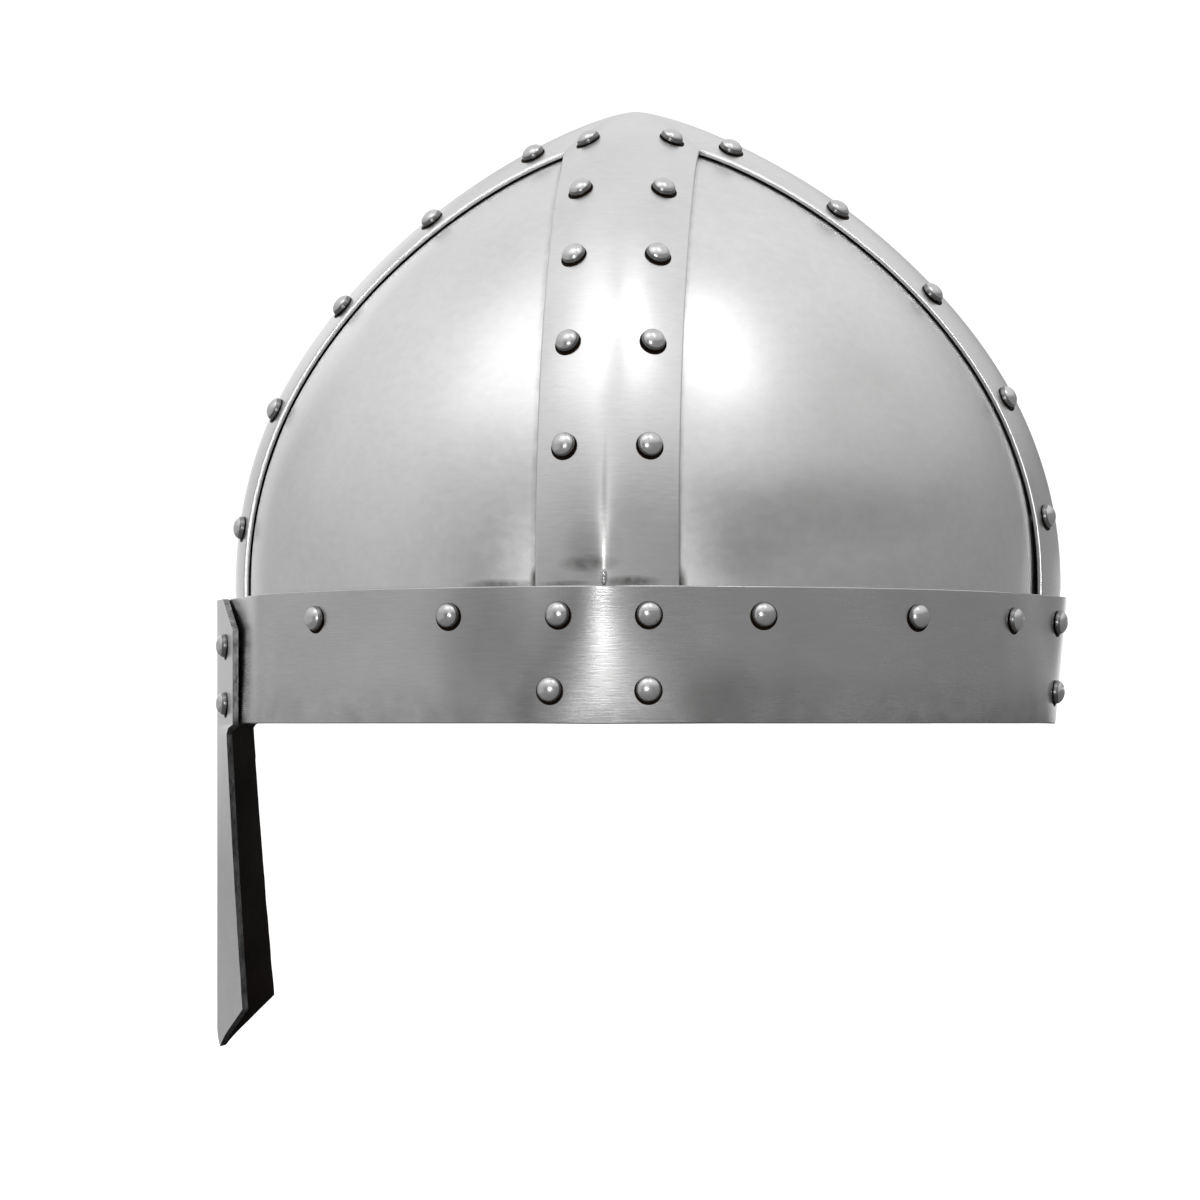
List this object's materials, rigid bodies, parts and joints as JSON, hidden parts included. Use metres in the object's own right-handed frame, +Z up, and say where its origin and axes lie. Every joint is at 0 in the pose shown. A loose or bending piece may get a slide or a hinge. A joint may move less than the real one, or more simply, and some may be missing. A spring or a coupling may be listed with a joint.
{
  "type": "spangenhelm helmet with nasal",
  "caption": "Riveted steel spangenhelm: four ridged spangens welded at a pointed apex, infill plates behind them, a brow band and a ridged nasal. It rests tilted back, as it stands by itself.",
  "frame": {"origin": "on the floor under the middle of the helmet's bounding box, with the helmet resting on the nasal's tip and the back of the rim", "axes": "+Z up; +X to the back of the helmet, so the nasal is towards -X; +Y to the wearer's right"},
  "size_m": [0.2722, 0.2074, 0.2025],
  "materials": {
    "spangen_steel": "satin ground steel, brushed along each strap",
    "plate_steel": "satin polished steel, planished round, plain dark oiled finish inside",
    "band_steel": "satin steel with fine scratches along the band",
    "nasal_steel": "satin steel with rough cut edges, dark inside",
    "rivet_steel": "smooth bright domed steel heads"
  },
  "bodies": {
    "root": {"crown_frame": "spangen_steel", "plate_front_left": "plate_steel", "plate_front_right": "plate_steel", "plate_back_left": "plate_steel", "plate_back_right": "plate_steel", "brow_band": "band_steel", "nasal": "nasal_steel", "rivet_back_1a": "rivet_steel", "rivet_back_1b": "rivet_steel", "rivet_back_2a": "rivet_steel", "rivet_back_2b": "rivet_steel", "rivet_back_3a": "rivet_steel", "rivet_back_3b": "rivet_steel", "rivet_back_4a": "rivet_steel", "rivet_back_4b": "rivet_steel", "rivet_back_5a": "rivet_steel", "rivet_back_5b": "rivet_steel", "rivet_front_1a": "rivet_steel", "rivet_front_1b": "rivet_steel", "rivet_front_2a": "rivet_steel", "rivet_front_2b": "rivet_steel", "rivet_front_3a": "rivet_steel", "rivet_front_3b": "rivet_steel", "rivet_front_4a": "rivet_steel", "rivet_front_4b": "rivet_steel", "rivet_front_5a": "rivet_steel", "rivet_front_5b": "rivet_steel", "rivet_left_1a": "rivet_steel", "rivet_left_1b": "rivet_steel", "rivet_left_2a": "rivet_steel", "rivet_left_2b": "rivet_steel", "rivet_left_3a": "rivet_steel", "rivet_left_3b": "rivet_steel", "rivet_left_4a": "rivet_steel", "rivet_left_4b": "rivet_steel", "rivet_left_5a": "rivet_steel", "rivet_left_5b": "rivet_steel", "rivet_right_1a": "rivet_steel", "rivet_right_1b": "rivet_steel", "rivet_right_2a": "rivet_steel", "rivet_right_2b": "rivet_steel", "rivet_right_3a": "rivet_steel", "rivet_right_3b": "rivet_steel", "rivet_right_4a": "rivet_steel", "rivet_right_4b": "rivet_steel", "rivet_right_5a": "rivet_steel", "rivet_right_5b": "rivet_steel", "rivet_nasal_lower_a": "rivet_steel", "rivet_nasal_lower_b": "rivet_steel", "rivet_nasal_upper_a": "rivet_steel", "rivet_nasal_upper_b": "rivet_steel"}
  },
  "joints": []
}
